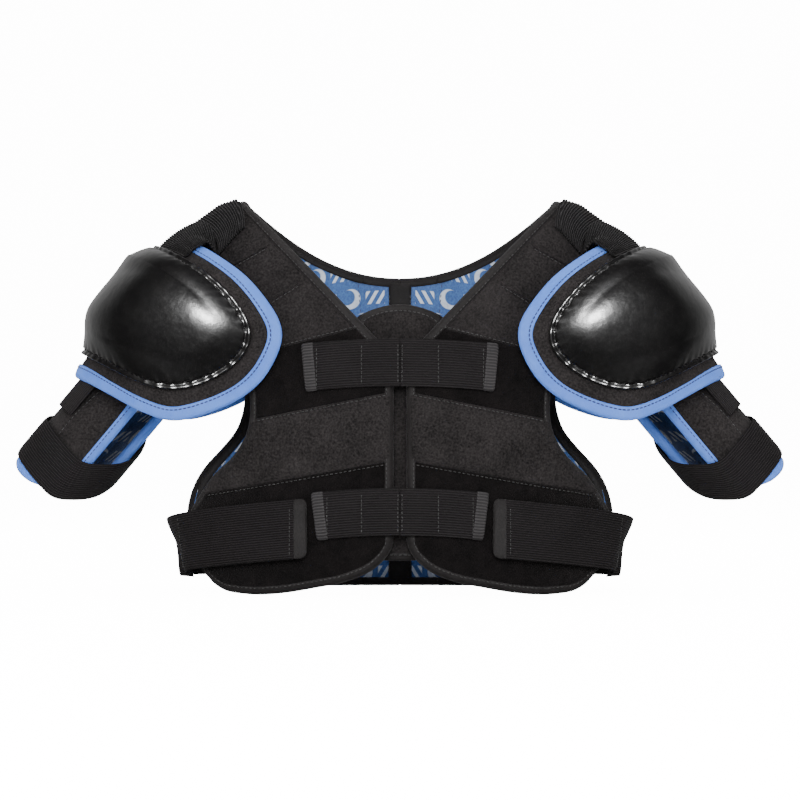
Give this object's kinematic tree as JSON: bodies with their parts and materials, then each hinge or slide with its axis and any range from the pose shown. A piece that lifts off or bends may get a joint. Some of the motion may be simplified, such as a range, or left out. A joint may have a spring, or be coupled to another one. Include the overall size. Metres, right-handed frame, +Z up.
{
  "type": "hockey shoulder pads",
  "caption": "Youth ice hockey shoulder pads: padded vest opening at the back seam, glossy shoulder caps, bound arm guards, chest pad and elastic straps.",
  "frame": {"origin": "bottom centre of the whole, at the height of the vest's hem", "axes": "+X to the viewer's right, +Y towards the wearer's back, +Z up; the chest faces -Y"},
  "size_m": [0.6302, 0.1964, 0.3197],
  "materials": {
    "black_fabric": "matte brushed knit",
    "loop_fabric": "loop pile",
    "elastic": "ribbed elastic",
    "webbing": "ribbed webbing",
    "blue_binding": "satin tape",
    "blue_liner": "printed mesh",
    "foam": "closed-cell foam",
    "gloss_cover": "glossy coated fabric",
    "cap_plastic": "moulded"
  },
  "bodies": {
    "spine": {"spine_strip": "black_fabric"},
    "left_half": {"left_front_shell": "black_fabric", "left_front_foam": "foam", "left_front_liner": "blue_liner", "left_back_shell": "black_fabric", "left_back_foam": "foam", "left_back_liner": "blue_liner", "left_edge_binding": "black_fabric", "left_upper_loop_patch": "loop_fabric", "left_chest_band": "black_fabric", "left_lower_loop_patch": "loop_fabric", "left_shoulder_webbing": "webbing", "left_cap_webbing": "webbing", "left_side_strap": "elastic", "chest_pad_cover": "black_fabric", "chest_pad_foam": "foam", "chest_pad_lining": "blue_liner"},
    "right_half": {"right_front_shell": "black_fabric", "right_front_foam": "foam", "right_front_liner": "blue_liner", "right_back_shell": "black_fabric", "right_back_foam": "foam", "right_back_liner": "blue_liner", "right_edge_binding": "black_fabric", "right_upper_loop_patch": "loop_fabric", "right_chest_band": "black_fabric", "right_lower_loop_patch": "loop_fabric", "right_shoulder_webbing": "webbing", "right_cap_webbing": "webbing", "right_side_strap": "elastic"},
    "left_upper_strap": {"left_upper_strap": "elastic"},
    "left_lower_strap": {"left_lower_strap": "elastic"},
    "left_side_strap_end": {"left_side_strap_end": "elastic"},
    "left_arm_strap_end": {"left_arm_strap_end": "elastic"},
    "left_cap": {"left_cap_cover": "gloss_cover", "left_cap_plate": "cap_plastic", "left_cap_pad": "black_fabric", "left_cap_binding": "blue_binding"},
    "left_arm": {"left_arm_shell": "black_fabric", "left_arm_foam": "foam", "left_arm_liner": "blue_liner", "left_arm_binding": "blue_binding", "left_arm_strap": "elastic", "left_arm_flap": "elastic"},
    "right_upper_strap": {"right_upper_strap": "elastic"},
    "right_lower_strap": {"right_lower_strap": "elastic"},
    "right_side_strap_end": {"right_side_strap_end": "elastic"},
    "right_arm_strap_end": {"right_arm_strap_end": "elastic"},
    "right_cap": {"right_cap_cover": "gloss_cover", "right_cap_plate": "cap_plastic", "right_cap_pad": "black_fabric", "right_cap_binding": "blue_binding"},
    "right_arm": {"right_arm_shell": "black_fabric", "right_arm_foam": "foam", "right_arm_liner": "blue_liner", "right_arm_binding": "blue_binding", "right_arm_strap": "elastic", "right_arm_flap": "elastic"}
  },
  "joints": [
    {"name": "left_half_fold", "type": "hinge", "parent": "spine", "child": "left_half", "pos_m": [0, 0.0785, 0.13], "axis": [0, 0, -1], "range_deg": [0, 30]},
    {"name": "right_half_fold", "type": "hinge", "parent": "spine", "child": "right_half", "pos_m": [0, 0.0785, 0.13], "axis": [0, 0, 1], "range_deg": [0, 30]},
    {"name": "left_upper_strap_peel", "type": "hinge", "parent": "left_half", "child": "left_upper_strap", "pos_m": [-0.0025, -0.09459, 0.1855], "axis": [0, 0, 1], "range_deg": [0, 80]},
    {"name": "left_lower_strap_peel", "type": "hinge", "parent": "left_half", "child": "left_lower_strap", "pos_m": [-0.0025, -0.09342, 0.068], "axis": [0, 0, 1], "range_deg": [0, 80]},
    {"name": "left_side_strap_peel", "type": "hinge", "parent": "left_half", "child": "left_side_strap_end", "pos_m": [-0.18071, -0.01176, 0.03704], "axis": [0.3324, 0, -0.9431], "range_deg": [0, 85]},
    {"name": "left_cap_lift", "type": "hinge", "parent": "left_half", "child": "left_cap", "pos_m": [-0.172, 0, 0.288], "axis": [0, 1, 0], "range_deg": [0, 40]},
    {"name": "left_arm_swing", "type": "hinge", "parent": "left_cap", "child": "left_arm", "pos_m": [-0.205, 0, 0.19], "axis": [0, 1, 0], "range_deg": [-20, 5], "deforming": ["left_arm_flap"]},
    {"name": "left_arm_strap_peel", "type": "hinge", "parent": "left_arm", "child": "left_arm_strap_end", "pos_m": [-0.26877, -0.03465, 0.09042], "axis": [-0.6428, 0, -0.766], "range_deg": [0, 80]},
    {"name": "right_upper_strap_peel", "type": "hinge", "parent": "left_half", "child": "right_upper_strap", "pos_m": [0.0025, -0.09459, 0.1855], "axis": [0, 0, -1], "range_deg": [0, 80]},
    {"name": "right_lower_strap_peel", "type": "hinge", "parent": "left_half", "child": "right_lower_strap", "pos_m": [0.0025, -0.09342, 0.068], "axis": [0, 0, -1], "range_deg": [0, 80]},
    {"name": "right_side_strap_peel", "type": "hinge", "parent": "right_half", "child": "right_side_strap_end", "pos_m": [0.18071, -0.01176, 0.03704], "axis": [0.3324, 0, 0.9431], "range_deg": [0, 85]},
    {"name": "right_cap_lift", "type": "hinge", "parent": "right_half", "child": "right_cap", "pos_m": [0.172, 0, 0.288], "axis": [0, -1, 0], "range_deg": [0, 40]},
    {"name": "right_arm_swing", "type": "hinge", "parent": "right_cap", "child": "right_arm", "pos_m": [0.205, 0, 0.19], "axis": [0, -1, 0], "range_deg": [-20, 5], "deforming": ["right_arm_flap"]},
    {"name": "right_arm_strap_peel", "type": "hinge", "parent": "right_arm", "child": "right_arm_strap_end", "pos_m": [0.26877, -0.03465, 0.09042], "axis": [-0.6428, 0, 0.766], "range_deg": [0, 80]}
  ]
}
